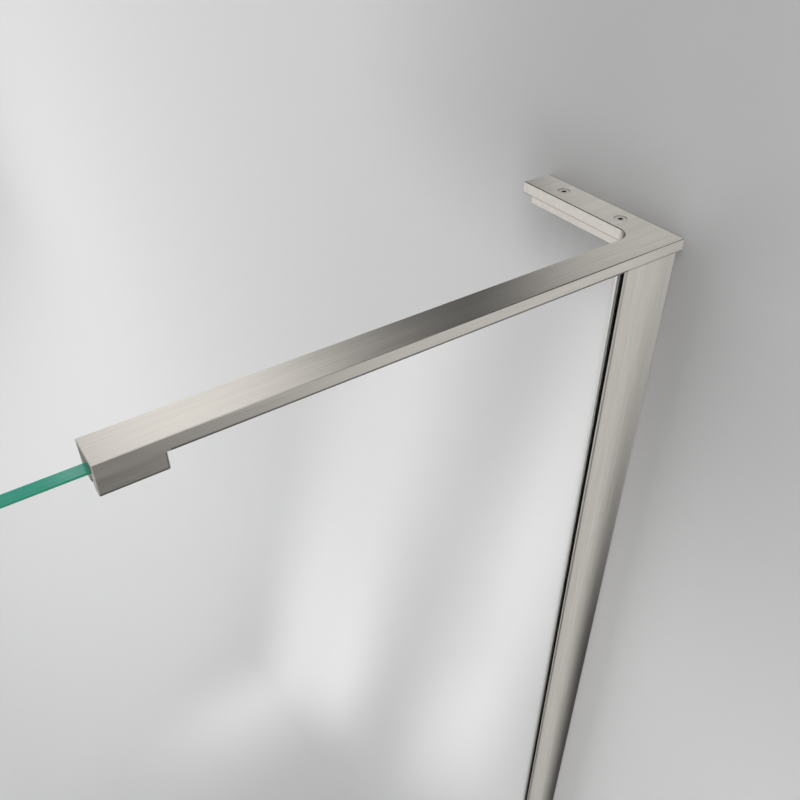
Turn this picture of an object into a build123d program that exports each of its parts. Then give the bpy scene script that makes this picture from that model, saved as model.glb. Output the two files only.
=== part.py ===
"""Frameless hinged shower door that is held from one wall.

A stationary glass panel stands in a wall profile, under an L-shaped support bar.
The swinging glass hangs on the stationary glass by two glass-to-glass hinges.

Frame, in millimetres: the wall is the plane x = 0 and the glass lies at x < 0.
The glass is centred on y = 0, with the outer side at y < 0. The curb is z = 0.
"""

import os
from math import sqrt

from build123d import *

# The opening and the glass
overall_height = 1829.0
opening_width = 1219.0
door_width = 610.0
glass_thickness = 10.0
glass_arris = 0.8
hinge_side_gap = 5.0
strike_side_gap = 6.0
door_floor_gap = 12.0

# The L-shaped support bar
bar_width = 25.4
bar_thickness = 9.5
long_arm_length = 431.8
short_arm_length = 144.0
short_arm_width = 26.5
inner_corner_radius = 12.7
bar_edge_break = 0.5
block_length = 38.0
block_depth = 21.4
block_corner_round = 1.0
block_slot_width = 12.7
bar_glass_gap = 0.8

# The countersunk screws of the bar and the bracket under its short arm
bar_screw_radius = 3.0
bar_screw_head_radius = 5.0
bar_screw_length = 16.0
bar_screw_hex = 4.0
bar_screw_first = 50.0
bar_screw_spacing = 61.6
bar_screw_sink = 0.25
bracket_thickness = 8.6
bracket_inset = 4.7
bracket_end_inset = 4.7
bracket_flange_thickness = 5.0
bracket_flange_depth = 8.8
bracket_hole_radius = 2.1
bracket_hole_spacing = 70.0

# The liner and the grub screws of the clamp block
liner_recess = 0.4
grub_radius = 3.0
grub_length = 5.2
grub_hex = 3.0
grub_spacing = 20.0
grub_below_top = 15.2

# The wall profile, the channel inside it and the gaskets
profile_depth = 50.8
profile_wall_half_width = 8.35
profile_middle_half_width = 12.2
profile_mouth_half_width = 7.8
profile_skin = 1.8
profile_lip_round = 1.5
profile_back_lip = 2.5
profile_back_lip_depth = 4.0
profile_web = 1.8
profile_wall_gap = 0.5
glass_pocket_depth = 15.8
wall_channel_half_width = 5.8
wall_channel_depth = 26.0
wall_channel_web = 2.2
wall_channel_arm = 2.0
channel_hole_radius = 2.6
channel_hole_pitch = 500.0
channel_hole_count = 4
profile_boss_width = 13.0
profile_screw_count = 3
profile_screw_pitch = 640.0
profile_screw_seat_depth = 2.8
profile_screw_radius = 2.0
profile_screw_head_radius = 3.6
profile_screw_head_height = 2.2
profile_screw_length = 9.0
cap_radius = 5.0
cap_height = 0.8
gasket_nose_inset = 0.5
gasket_barb_start = 3.0
gasket_barb_end = 5.0
gasket_barb_rise = 1.2
gasket_depth = 10.0

# The channel under the stationary glass
floor_channel_width = 16.0
floor_channel_height = 16.0
floor_channel_wall = 1.6
floor_gasket_proud = 0.5
setting_block_height = 3.0
setting_block_length = 60.0
setting_block_count = 3

# The hinges
hinge_end_distance = 250.0
hinge_axis_inset = 8.0
hinge_height = 90.0
barrel_radius = 11.0
plate_width = 45.0
plate_thickness = 5.0
plate_gap = 0.5
plate_corner_radius = 3.0
plate_edge_break = 0.8
hinge_gasket = 1.0
middle_knuckle_height = 40.0
core_width = 25.0
core_height = 50.0
core_corner_radius = 8.0
notch_clearance = 2.0
notch_corner_radius = 4.0
hinge_notch_extra = 1.5
barrel_notch_clearance = 2.5
pin_radius = 4.0
pin_end_inset = 0.6
bush_wall = 1.5
bush_flange = 1.0
bush_flange_radius = 8.5
bush_length = 12.0
hinge_screw_radius = 3.0
hinge_screw_head_radius = 6.0
hinge_screw_length = 14.0
hinge_screw_hex = 4.0
hinge_screw_spacing = 28.0
hinge_screw_in = 13.0
hinge_screw_sink = 0.25

# The back-to-back pulls
pull_height = 1000.0
pull_edge_distance = 60.0
pull_centres = 203.0
pull_overhang = 30.0
pull_bar_size = 19.0
pull_bar_break = 1.2
pull_post_radius = 8.0
pull_stand_off = 42.0
pull_hole_radius = 6.0
pull_stud_radius = 4.0
pull_stud_engagement = 14.0
pull_washer_thickness = 1.2
pull_washer_radius = 9.5
pull_grub_radius = 2.0
pull_grub_hex = 2.0
pull_grub_in = 8.0

# The clear seals
seal_wall = 0.9
seal_leg = 9.0
seal_end_gap = 1.0
hinge_seal_reach = 2.9
bottom_seal_reach = 9.0
bottom_fin_lean = 4.0
fin_thickness = 1.2
strike_bulb_radius = 2.4

# Shares of a screw's own size: its head's rim, its socket and its broken edges
rim_share = 0.1
socket_share = 0.9
tip_share = 0.15

# Clearances between pieces that fit together
slip = 0.1
fit = 0.05
pin_running = 0.05
knuckle_play = 0.15

# Places worked out from the sizes above
half_glass = glass_thickness / 2
half_bar = bar_width / 2
bar_underside = overall_height - bar_thickness
glass_top = bar_underside - bar_glass_gap
wall_glass_edge = -(profile_depth - glass_pocket_depth)
door_free_edge = -(opening_width - strike_side_gap)
door_hinge_edge = door_free_edge + door_width
panel_edge = door_hinge_edge + hinge_side_gap
panel_bottom = floor_channel_wall + setting_block_height
hinge_axis_x = door_hinge_edge - hinge_axis_inset
hinge_lower_height = hinge_end_distance
hinge_upper_height = glass_top - hinge_end_distance
hinge_heights = {"lower": hinge_lower_height, "upper": hinge_upper_height}
plate_start = barrel_radius + plate_gap
plate_inner = half_glass + hinge_gasket
plate_outer = plate_inner + plate_thickness
core_reach = plate_start + core_width
half_hinge = hinge_height / 2
pull_x = door_free_edge + pull_edge_distance


# Screws, each standing on the origin with its axis along Z and its head up

def hex_key_radius(across_flats):
    """Corner radius of a hexagon of a width across flats."""
    return across_flats / sqrt(3)


def countersunk_screw(radius, head_radius, length, hexagon):
    """A screw with a ninety-degree countersunk head whose top lies at z = 0."""
    rim = radius * rim_share
    cone = head_radius - radius
    with BuildPart() as screw:
        with BuildSketch(Plane.XZ):
            with BuildLine():
                Polyline(
                    (0, 0),
                    (head_radius, 0),
                    (head_radius, -rim),
                    (radius, -rim - cone),
                    (radius, -length),
                    (0, -length),
                    close=True,
                )
            make_face()
        revolve(axis=Axis.Z)
        with BuildSketch(Plane.XY):
            RegularPolygon(hex_key_radius(hexagon), 6)
        extrude(amount=-cone * socket_share, mode=Mode.SUBTRACT)
    return screw.part


def grub_screw(radius, length, hexagon):
    """A headless screw with its socket at z = 0."""
    with BuildPart() as screw:
        Cylinder(radius, length, align=(Align.CENTER, Align.CENTER, Align.MAX))
        chamfer(screw.edges().filter_by(GeomType.CIRCLE), radius * tip_share)
        with BuildSketch(Plane.XY):
            RegularPolygon(hex_key_radius(hexagon), 6)
        extrude(amount=-length / 2, mode=Mode.SUBTRACT)
    return screw.part


def pan_screw(radius, head_radius, head_height, length):
    """A screw with a rounded head that stands on z = 0."""
    with BuildPart() as screw:
        with BuildSketch(Plane.XZ):
            with BuildLine():
                Line((0, -length), (radius, -length))
                Line((radius, -length), (radius, 0))
                Line((radius, 0), (head_radius, 0))
                TangentArc((0, head_height), (head_radius, 0), tangent=(1, 0))
                Line((0, head_height), (0, -length))
            make_face()
        revolve(axis=Axis.Z)
    return screw.part


def write(piece, name):
    """Give a finished piece its name and write it."""
    piece.part.label = name
    export_step(piece.part, f"parts/{name}.step")


os.makedirs("parts", exist_ok=True)

# Places of the bar's screws and of the grub screws in its clamp block
bar_screw_x = -short_arm_width / 2
bar_screw_y = -half_bar + bar_screw_first
bar_screw_places = [(bar_screw_x, bar_screw_y + n * bar_screw_spacing) for n in range(2)]
bar_screw_head_z = overall_height - bar_screw_sink
block_middle_x = -long_arm_length + block_length / 2
grub_z = overall_height - grub_below_top
grub_outer_y = half_bar - bar_screw_sink
grub_places = [
    Plane(
        origin=(block_middle_x + side * grub_spacing / 2, grub_outer_y, grub_z),
        x_dir=(1, 0, 0),
        z_dir=(0, 1, 0),
    ).location
    for side in (-1, 1)
]

bar_screw = countersunk_screw(
    bar_screw_radius, bar_screw_head_radius, bar_screw_length, bar_screw_hex
)
bar_grub = grub_screw(grub_radius, grub_length, grub_hex)

# The support bar: an L in plan, with the clamp block under its free end
with BuildPart() as l_bar:
    with BuildSketch(Plane.XY.offset(bar_underside)) as bar_outline:
        with BuildLine():
            Polyline(
                (0, -half_bar),
                (-long_arm_length, -half_bar),
                (-long_arm_length, half_bar),
                (-short_arm_width, half_bar),
                (-short_arm_width, short_arm_length - half_bar),
                (0, short_arm_length - half_bar),
                close=True,
            )
        make_face()
        inner_corner = bar_outline.vertices().sort_by_distance(
            (-short_arm_width, half_bar, bar_underside)
        )[0]
        fillet(inner_corner, inner_corner_radius)
    extrude(amount=bar_thickness)
    with BuildSketch(Plane.XY.offset(bar_underside)):
        with Locations((block_middle_x, 0)):
            Rectangle(block_length, bar_width)
            Rectangle(block_length, block_slot_width, mode=Mode.SUBTRACT)
    extrude(amount=-(block_depth - bar_thickness))
    leg_corners = l_bar.faces().sort_by(Axis.Z)[:2].edges().filter_by(Axis.Y)
    fillet(leg_corners, block_corner_round)
    top_edges = l_bar.faces().sort_by(Axis.Z)[-1].edges()
    outer_edges = l_bar.edges().filter_by(Axis.Z).filter_by(
        lambda edge: abs(abs(edge.center().Y) - half_bar) < bar_edge_break
        and edge.center().X < -long_arm_length + bar_edge_break
    )
    chamfer(top_edges + outer_edges, bar_edge_break)
    with BuildSketch(Plane.XY.offset(overall_height)):
        with Locations(*bar_screw_places):
            Circle(bar_screw_radius + fit)
    extrude(amount=-bar_thickness, mode=Mode.SUBTRACT)
    seat_rim = bar_screw_sink + bar_screw_radius * rim_share
    for x, y in bar_screw_places:
        with Locations((x, y, overall_height)):
            Cylinder(
                bar_screw_head_radius + fit,
                seat_rim,
                align=(Align.CENTER, Align.CENTER, Align.MAX),
                mode=Mode.SUBTRACT,
            )
        with Locations((x, y, overall_height - seat_rim)):
            Cone(
                bar_screw_radius + fit,
                bar_screw_head_radius + fit,
                bar_screw_head_radius - bar_screw_radius,
                align=(Align.CENTER, Align.CENTER, Align.MAX),
                mode=Mode.SUBTRACT,
            )
    with Locations(*grub_places):
        Cylinder(
            grub_radius + fit,
            half_bar,
            align=(Align.CENTER, Align.CENTER, Align.CENTER),
            mode=Mode.SUBTRACT,
        )
write(l_bar, "l_bar")

with BuildPart() as bar_screws:
    with Locations(*[(x, y, bar_screw_head_z) for x, y in bar_screw_places]):
        add(bar_screw)
write(bar_screws, "bar_screws")

with BuildPart() as clamp_grub_screws:
    with Locations(*grub_places):
        add(bar_grub)
write(clamp_grub_screws, "clamp_grub_screws")

# The bracket under the short arm: a plate, and a flange that is screwed to the wall
bracket_top = bar_underside
bracket_bottom = bracket_top - bracket_thickness
bracket_length = short_arm_length - bar_width - bracket_end_inset
bracket_middle_y = half_bar + bracket_length / 2
flange_hole_z = bracket_bottom - bracket_flange_depth / 2
with BuildPart() as wall_bracket:
    with BuildSketch(Plane.XY.offset(bracket_bottom)):
        with Locations((0, half_bar)):
            Rectangle(
                short_arm_width - bracket_inset, bracket_length, align=(Align.MAX, Align.MIN)
            )
    extrude(amount=bracket_thickness)
    free_edges = wall_bracket.faces().sort_by(Axis.X)[0].edges()
    chamfer(free_edges, bar_edge_break)
    with BuildSketch(Plane.XY.offset(bracket_bottom)):
        with Locations((0, half_bar)):
            Rectangle(bracket_flange_thickness, bracket_length, align=(Align.MAX, Align.MIN))
    extrude(amount=-bracket_flange_depth)
    with BuildSketch(Plane.XY.offset(bracket_top)):
        with Locations(*bar_screw_places):
            Circle(bar_screw_radius + fit)
    extrude(amount=-bracket_thickness, mode=Mode.SUBTRACT)
    with BuildSketch(Plane.YZ):
        with Locations((bracket_middle_y, flange_hole_z)):
            with GridLocations(bracket_hole_spacing, 0, 2, 1):
                Circle(bracket_hole_radius)
    extrude(amount=-bracket_flange_thickness, mode=Mode.SUBTRACT)
write(wall_bracket, "wall_bracket")

# The liner in the clamp block: a U over the top edge of the glass
liner_length = block_length - liner_recess
liner_middle_x = -long_arm_length + liner_recess + liner_length / 2
liner_height = block_depth - bar_thickness - fit
with BuildPart() as clamp_liner:
    with BuildSketch(Plane.YZ.offset(liner_middle_x - liner_length / 2)):
        with Locations((0, bar_underside - fit)):
            Rectangle(block_slot_width - 2 * fit, liner_height, align=(Align.CENTER, Align.MAX))
        with Locations((0, glass_top)):
            Rectangle(glass_thickness, block_depth, align=(Align.CENTER, Align.MAX), mode=Mode.SUBTRACT)
    extrude(amount=liner_length)
write(clamp_liner, "clamp_liner")

# The strip that keeps the bar off the glass, from the wall profile to the clamp block
strip_start = -profile_depth - slip
strip_end = -long_arm_length + block_length + slip
with BuildPart() as bar_cushion_strip:
    with BuildSketch(Plane.XY.offset(glass_top)):
        with Locations(((strip_start + strip_end) / 2, 0)):
            Rectangle(strip_start - strip_end, glass_thickness - 2 * glass_arris)
    extrude(amount=bar_glass_gap)
write(bar_cushion_strip, "bar_cushion_strip")

# The wall profile and what it holds
profile_top = bar_underside - slip
profile_middle_z = profile_top / 2
glass_web_x = wall_glass_edge + slip + profile_web / 2
boss_x = -wall_channel_web - wall_channel_depth / 2
mouth_x = -profile_depth


def profile_outline(inward):
    """A face between two shallow arcs from the wall to the mouth, moved inwards."""
    wall_y = profile_wall_half_width - inward
    middle_y = profile_middle_half_width - inward
    mouth_y = profile_mouth_half_width - inward
    wall_x = -profile_wall_gap
    middle_x = mouth_x / 2
    with BuildSketch() as outline:
        with BuildLine():
            ThreePointArc((wall_x, -wall_y), (middle_x, -middle_y), (mouth_x, -mouth_y))
            Line((mouth_x, -mouth_y), (mouth_x, mouth_y))
            ThreePointArc((mouth_x, mouth_y), (middle_x, middle_y), (wall_x, wall_y))
            Line((wall_x, wall_y), (wall_x, -wall_y))
        make_face()
    return outline.sketch


profile_outside = profile_outline(0)
profile_inside = profile_outline(profile_skin)

with BuildSketch() as profile_hollow:
    add(profile_inside)
    with Locations((glass_web_x, 0)):
        Rectangle(profile_web, profile_depth, mode=Mode.SUBTRACT)
    with Locations((boss_x, wall_channel_half_width + slip)):
        Rectangle(
            profile_boss_width,
            profile_middle_half_width,
            align=(Align.CENTER, Align.MIN),
            mode=Mode.SUBTRACT,
        )
    with Locations((boss_x, -wall_channel_half_width - slip)):
        Rectangle(
            profile_boss_width,
            profile_middle_half_width,
            align=(Align.CENTER, Align.MAX),
            mode=Mode.SUBTRACT,
        )

profile_screw_heights = [
    profile_middle_z + (n - (profile_screw_count - 1) / 2) * profile_screw_pitch
    for n in range(profile_screw_count)
]
screw_seat_y = profile_middle_half_width - profile_screw_seat_depth
profile_screw_places = [
    Plane(origin=(boss_x, screw_seat_y, z), x_dir=(1, 0, 0), z_dir=(0, 1, 0)).location
    for z in profile_screw_heights
]

with BuildPart() as wall_profile:
    with BuildSketch(Plane.XY) as profile_section:
        add(profile_outside)
        lip_corners = profile_section.vertices().group_by(Axis.X)[0]
        fillet(lip_corners, profile_lip_round)
        add(profile_hollow.sketch, mode=Mode.SUBTRACT)
        with Locations((mouth_x, profile_mouth_half_width - profile_back_lip)):
            Rectangle(
                profile_back_lip_depth,
                profile_back_lip - profile_skin / 2,
                align=(Align.MIN, Align.MIN),
            )
    extrude(amount=profile_top)
    with Locations(*profile_screw_places):
        Cylinder(
            cap_radius + fit,
            profile_depth,
            align=(Align.CENTER, Align.CENTER, Align.MIN),
            mode=Mode.SUBTRACT,
        )
        Cylinder(
            profile_screw_radius + fit,
            2 * screw_seat_y - 2 * wall_channel_half_width,
            mode=Mode.SUBTRACT,
        )
write(wall_profile, "wall_profile")

with BuildPart() as wall_channel:
    with BuildSketch(Plane.XY):
        Rectangle(
            wall_channel_depth, 2 * wall_channel_half_width, align=(Align.MAX, Align.CENTER)
        )
        with Locations((-wall_channel_web, 0)):
            Rectangle(
                wall_channel_depth,
                2 * (wall_channel_half_width - wall_channel_arm),
                align=(Align.MAX, Align.CENTER),
                mode=Mode.SUBTRACT,
            )
    extrude(amount=profile_top - slip)
    with BuildSketch(Plane.YZ):
        with Locations((0, profile_middle_z)):
            with GridLocations(0, channel_hole_pitch, 1, channel_hole_count):
                Circle(channel_hole_radius)
    extrude(amount=-wall_channel_web, mode=Mode.SUBTRACT)
    with Locations(*[(boss_x, wall_channel_half_width, z) for z in profile_screw_heights]):
        Cylinder(
            profile_screw_radius + fit,
            2 * wall_channel_arm,
            rotation=(90, 0, 0),
            mode=Mode.SUBTRACT,
        )
write(wall_channel, "wall_channel")

profile_screw = pan_screw(
    profile_screw_radius,
    profile_screw_head_radius,
    profile_screw_head_height,
    profile_screw_length,
)
with BuildPart() as profile_fixing_screws:
    with Locations(*profile_screw_places):
        add(profile_screw)
write(profile_fixing_screws, "profile_fixing_screws")

cap_edge_height = profile_screw_seat_depth
cap_top_height = cap_edge_height + cap_height
with BuildPart() as screw_cap:
    with BuildSketch(Plane.XZ):
        with BuildLine():
            Line((profile_screw_head_radius + slip, 0), (cap_radius, 0))
            Line((cap_radius, 0), (cap_radius, cap_edge_height))
            TangentArc((0, cap_top_height), (cap_radius, cap_edge_height), tangent=(1, 0))
            Line((0, cap_top_height), (0, profile_screw_head_height + slip))
            Line(
                (0, profile_screw_head_height + slip),
                (profile_screw_head_radius + slip, profile_screw_head_height + slip),
            )
            Line(
                (profile_screw_head_radius + slip, profile_screw_head_height + slip),
                (profile_screw_head_radius + slip, 0),
            )
        make_face()
    revolve(axis=Axis.Z)

with BuildPart() as profile_screw_caps:
    with Locations(*profile_screw_places):
        add(screw_cap.part)
write(profile_screw_caps, "profile_screw_caps")

# The front gasket is pressed in and has a barb behind its lip; the back one is a flat tape
lip_inner_y = profile_mouth_half_width - profile_skin - fit
nose_x = mouth_x + gasket_nose_inset
gasket_height = glass_top - panel_bottom
with BuildPart() as profile_front_gasket:
    with BuildSketch(Plane.XY.offset(panel_bottom)):
        with BuildLine():
            Polyline(
                (nose_x, -half_glass),
                (nose_x, -lip_inner_y),
                (nose_x + gasket_barb_start, -lip_inner_y),
                (nose_x + gasket_barb_end, -lip_inner_y - gasket_barb_rise),
                (nose_x + gasket_barb_end, -lip_inner_y),
                (nose_x + gasket_depth, -lip_inner_y),
                (nose_x + gasket_depth, -half_glass),
                close=True,
            )
        make_face()
    extrude(amount=gasket_height)
write(profile_front_gasket, "profile_front_gasket")

tape_thickness = profile_mouth_half_width - profile_back_lip - half_glass - fit
with BuildPart() as profile_back_gasket:
    with BuildSketch(Plane.XY.offset(panel_bottom)):
        with Locations((nose_x, half_glass)):
            Rectangle(gasket_depth, tape_thickness, align=(Align.MIN, Align.MIN))
    extrude(amount=gasket_height)
write(profile_back_gasket, "profile_back_gasket")


# The glass, each pane with ground and polished edges and with notches for the hinges

def hinge_notches(edge_x, axis_x, direction):
    """Rounded cut-outs at a glass edge, for the cores of the hinges."""
    reach = abs(axis_x + direction * (core_reach + notch_clearance) - edge_x)
    with Locations(*[(edge_x, z) for z in hinge_heights.values()]):
        RectangleRounded(
            2 * reach,
            core_height + 2 * notch_clearance,
            core_corner_radius + notch_clearance,
            mode=Mode.SUBTRACT,
        )


with BuildPart() as fixed_panel_glass:
    with BuildSketch(Plane.XZ.offset(-half_glass)):
        with Locations((wall_glass_edge, panel_bottom)):
            Rectangle(
                wall_glass_edge - panel_edge, glass_top - panel_bottom, align=(Align.MAX, Align.MIN)
            )
        hinge_notches(panel_edge, hinge_axis_x, 1)
    extrude(amount=glass_thickness)
    pane_faces = fixed_panel_glass.faces().filter_by(Axis.Y).sort_by(Axis.Y)
    chamfer(pane_faces[0].edges() + pane_faces[-1].edges(), glass_arris)
write(fixed_panel_glass, "fixed_panel_glass")

barrel_notch_reach = hinge_axis_inset + plate_start + hinge_notch_extra
pull_holes = [(pull_x, pull_height + side * pull_centres / 2) for side in (-1, 1)]
with BuildPart() as door_glass:
    with BuildSketch(Plane.XZ.offset(-half_glass)):
        with Locations((door_hinge_edge, door_floor_gap)):
            Rectangle(door_width, glass_top - door_floor_gap, align=(Align.MAX, Align.MIN))
        with Locations(*[(door_hinge_edge, z) for z in hinge_heights.values()]):
            RectangleRounded(
                2 * barrel_notch_reach,
                hinge_height + 2 * barrel_notch_clearance,
                notch_corner_radius,
                mode=Mode.SUBTRACT,
            )
        hinge_notches(door_hinge_edge, hinge_axis_x, -1)
        with Locations(*pull_holes):
            Circle(pull_hole_radius, mode=Mode.SUBTRACT)
    extrude(amount=glass_thickness)
    pane_faces = door_glass.faces().filter_by(Axis.Y).sort_by(Axis.Y)
    rims = pane_faces[0].edges() + pane_faces[-1].edges()
    chamfer(rims, glass_arris)
write(door_glass, "door_glass")

# What the stationary glass stands in
channel_start = -profile_depth - slip
channel_length = channel_start - panel_edge
channel_inner_width = floor_channel_width - 2 * floor_channel_wall
with BuildPart() as floor_channel:
    with BuildSketch(Plane.YZ.offset(panel_edge)):
        Rectangle(floor_channel_width, floor_channel_height, align=(Align.CENTER, Align.MIN))
        with Locations((0, floor_channel_wall)):
            Rectangle(
                channel_inner_width,
                floor_channel_height,
                align=(Align.CENTER, Align.MIN),
                mode=Mode.SUBTRACT,
            )
    extrude(amount=channel_length)
    rails = floor_channel.faces().sort_by(Axis.Z)[-2:]
    chamfer(rails[0].edges().filter_by(Axis.X) + rails[1].edges().filter_by(Axis.X), bar_edge_break)
write(floor_channel, "floor_channel")

floor_gasket_width = (channel_inner_width - glass_thickness) / 2
with BuildPart() as floor_channel_gaskets:
    with BuildSketch(Plane.YZ.offset(panel_edge)):
        for side in (-1, 1):
            with Locations((side * (half_glass + floor_gasket_width / 2), panel_bottom + glass_arris)):
                Rectangle(
                    floor_gasket_width,
                    floor_channel_height + floor_gasket_proud - panel_bottom - glass_arris,
                    align=(Align.CENTER, Align.MIN),
                )
    extrude(amount=channel_length)
write(floor_channel_gaskets, "floor_channel_gaskets")

block_pitch = channel_length / setting_block_count
with BuildPart() as setting_blocks:
    with BuildSketch(Plane.XY.offset(floor_channel_wall)):
        with Locations((channel_start - channel_length / 2, 0)):
            with GridLocations(block_pitch, 0, setting_block_count, 1):
                Rectangle(setting_block_length, channel_inner_width - 2 * slip)
    extrude(amount=setting_block_height)
write(setting_blocks, "setting_blocks")

# The hinges, each made about its own middle and then placed
middle_half = middle_knuckle_height / 2
outer_knuckle_start = middle_half + bush_flange + knuckle_play
bush_bore = pin_radius + pin_running
bush_radius = bush_bore + bush_wall
screw_rows = [-hinge_screw_spacing / 2, hinge_screw_spacing / 2]


def hinge_leaf(direction, knuckles, bore):
    """A front plate, the core in the glass notch and the knuckles round the pin."""
    plate_middle = direction * (plate_start + plate_width / 2)
    core_middle = direction * (plate_start + core_width / 2)
    with BuildPart() as leaf:
        with BuildSketch(Plane.XZ.offset(plate_inner)):
            with Locations((plate_middle, 0)):
                RectangleRounded(plate_width, hinge_height, plate_corner_radius)
        extrude(amount=plate_thickness)
        chamfer(leaf.faces().sort_by(Axis.Y)[0].edges(), plate_edge_break)
        with BuildSketch(Plane.XZ.offset(-plate_inner)):
            with Locations((core_middle, 0)):
                RectangleRounded(core_width, core_height, core_corner_radius)
        extrude(amount=2 * plate_inner)
        for low, high in knuckles:
            with BuildSketch(Plane.XY.offset(low)):
                Circle(barrel_radius)
                with Locations((direction * plate_start / 2, 0)):
                    Rectangle(plate_start, 2 * barrel_radius)
            extrude(amount=high - low)
        Cylinder(bore, hinge_height, mode=Mode.SUBTRACT)
        with BuildSketch(Plane.XZ.offset(-plate_inner)):
            for z in screw_rows:
                with Locations((direction * (plate_start + hinge_screw_in), z)):
                    Circle(hinge_screw_radius + fit)
        extrude(amount=hinge_screw_length - plate_thickness + hinge_screw_sink, mode=Mode.SUBTRACT)
    return leaf.part


def clamp_plate(direction):
    """The plate on the far side of the glass, with seats for its two screws."""
    length = plate_width - slip
    head_depth = hinge_screw_head_radius - hinge_screw_radius
    rim = hinge_screw_radius * rim_share + hinge_screw_sink
    with BuildPart() as plate:
        with BuildSketch(Plane.XZ.offset(-plate_inner)):
            with Locations((direction * (plate_start + slip + length / 2), 0)):
                RectangleRounded(length, hinge_height, plate_corner_radius)
        extrude(amount=-plate_thickness)
        chamfer(plate.faces().sort_by(Axis.Y)[-1].edges(), plate_edge_break)
        for z in screw_rows:
            seat = Plane(
                origin=(direction * (plate_start + hinge_screw_in), plate_outer, z),
                x_dir=(1, 0, 0),
                z_dir=(0, 1, 0),
            )
            with BuildSketch(Plane.XZ.offset(-plate_outer)):
                with Locations((direction * (plate_start + hinge_screw_in), z)):
                    Circle(hinge_screw_radius + fit)
            extrude(amount=plate_thickness, mode=Mode.SUBTRACT)
            with Locations(seat.location):
                Cylinder(
                    hinge_screw_head_radius + fit,
                    rim,
                    align=(Align.CENTER, Align.CENTER, Align.MAX),
                    mode=Mode.SUBTRACT,
                )
            with Locations(seat.offset(-rim).location):
                Cone(
                    hinge_screw_radius + fit,
                    hinge_screw_head_radius + fit,
                    head_depth,
                    align=(Align.CENTER, Align.CENTER, Align.MAX),
                    mode=Mode.SUBTRACT,
                )
    return plate.part


def leaf_gasket(direction):
    """The sheet between a plate and the glass, open where the core passes."""
    start = plate_start + hinge_notch_extra
    length = plate_start + plate_width - start
    with BuildPart() as sheet:
        with BuildSketch(Plane.XZ.offset(half_glass)):
            with Locations((direction * (start + length / 2), 0)):
                Rectangle(length, hinge_height)
            with Locations((direction * start, 0)):
                RectangleRounded(
                    2 * (core_reach + slip - start),
                    core_height + 2 * slip,
                    core_corner_radius,
                    mode=Mode.SUBTRACT,
                )
        extrude(amount=hinge_gasket)
    return sheet.part


middle_knuckle = [(-middle_half, middle_half)]
outer_knuckles = [(-half_hinge, -outer_knuckle_start), (outer_knuckle_start, half_hinge)]
panel_leaf = hinge_leaf(1, middle_knuckle, bush_radius + fit)
door_leaf = hinge_leaf(-1, outer_knuckles, pin_radius + fit)
panel_clamp = clamp_plate(1)
door_clamp = clamp_plate(-1)

with BuildPart() as hinge_pin:
    Cylinder(pin_radius, hinge_height - 2 * pin_end_inset)
    chamfer(hinge_pin.edges().filter_by(GeomType.CIRCLE), pin_end_inset)

with BuildPart() as hinge_bush:
    Cylinder(bush_flange_radius, bush_flange, align=(Align.CENTER, Align.CENTER, Align.MIN))
    Cylinder(bush_radius, bush_length, align=(Align.CENTER, Align.CENTER, Align.MAX))
    Cylinder(bush_bore, 2 * bush_length, mode=Mode.SUBTRACT)

upper_bush = Plane(origin=(0, 0, middle_half), z_dir=(0, 0, 1))
lower_bush = Plane(origin=(0, 0, -middle_half), z_dir=(0, 0, -1))
with BuildPart() as bush_pair:
    with Locations(upper_bush.location, lower_bush.location):
        add(hinge_bush.part)

hinge_pieces = {
    "hinge_panel_leaf": panel_leaf,
    "hinge_panel_clamp_plate": panel_clamp,
    "hinge_bushes": bush_pair.part,
    "hinge_door_leaf": door_leaf,
    "hinge_door_clamp_plate": door_clamp,
    "hinge_pin": hinge_pin.part,
}
for level, z in hinge_heights.items():
    for kind, shape in hinge_pieces.items():
        with BuildPart() as placed:
            with Locations((hinge_axis_x, 0, z)):
                add(shape)
        write(placed, f"{level}_{kind}")

hinge_screw = countersunk_screw(
    hinge_screw_radius,
    hinge_screw_head_radius,
    hinge_screw_length,
    hinge_screw_hex,
)
for body, direction in (("panel", 1), ("door", -1)):
    sheet = leaf_gasket(direction)
    screw_x = hinge_axis_x + direction * (plate_start + hinge_screw_in)
    with BuildPart() as gaskets:
        for z in hinge_heights.values():
            with Locations((hinge_axis_x, 0, z), (hinge_axis_x, glass_thickness + hinge_gasket, z)):
                add(sheet)
    write(gaskets, f"{body}_hinge_gaskets")
    with BuildPart() as screws:
        for z in hinge_heights.values():
            for row in screw_rows:
                head = Plane(
                    origin=(screw_x, plate_outer - hinge_screw_sink, z + row),
                    x_dir=(1, 0, 0),
                    z_dir=(0, 1, 0),
                )
                with Locations(head.location):
                    add(hinge_screw)
    write(screws, f"{body}_hinge_screws")

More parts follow.
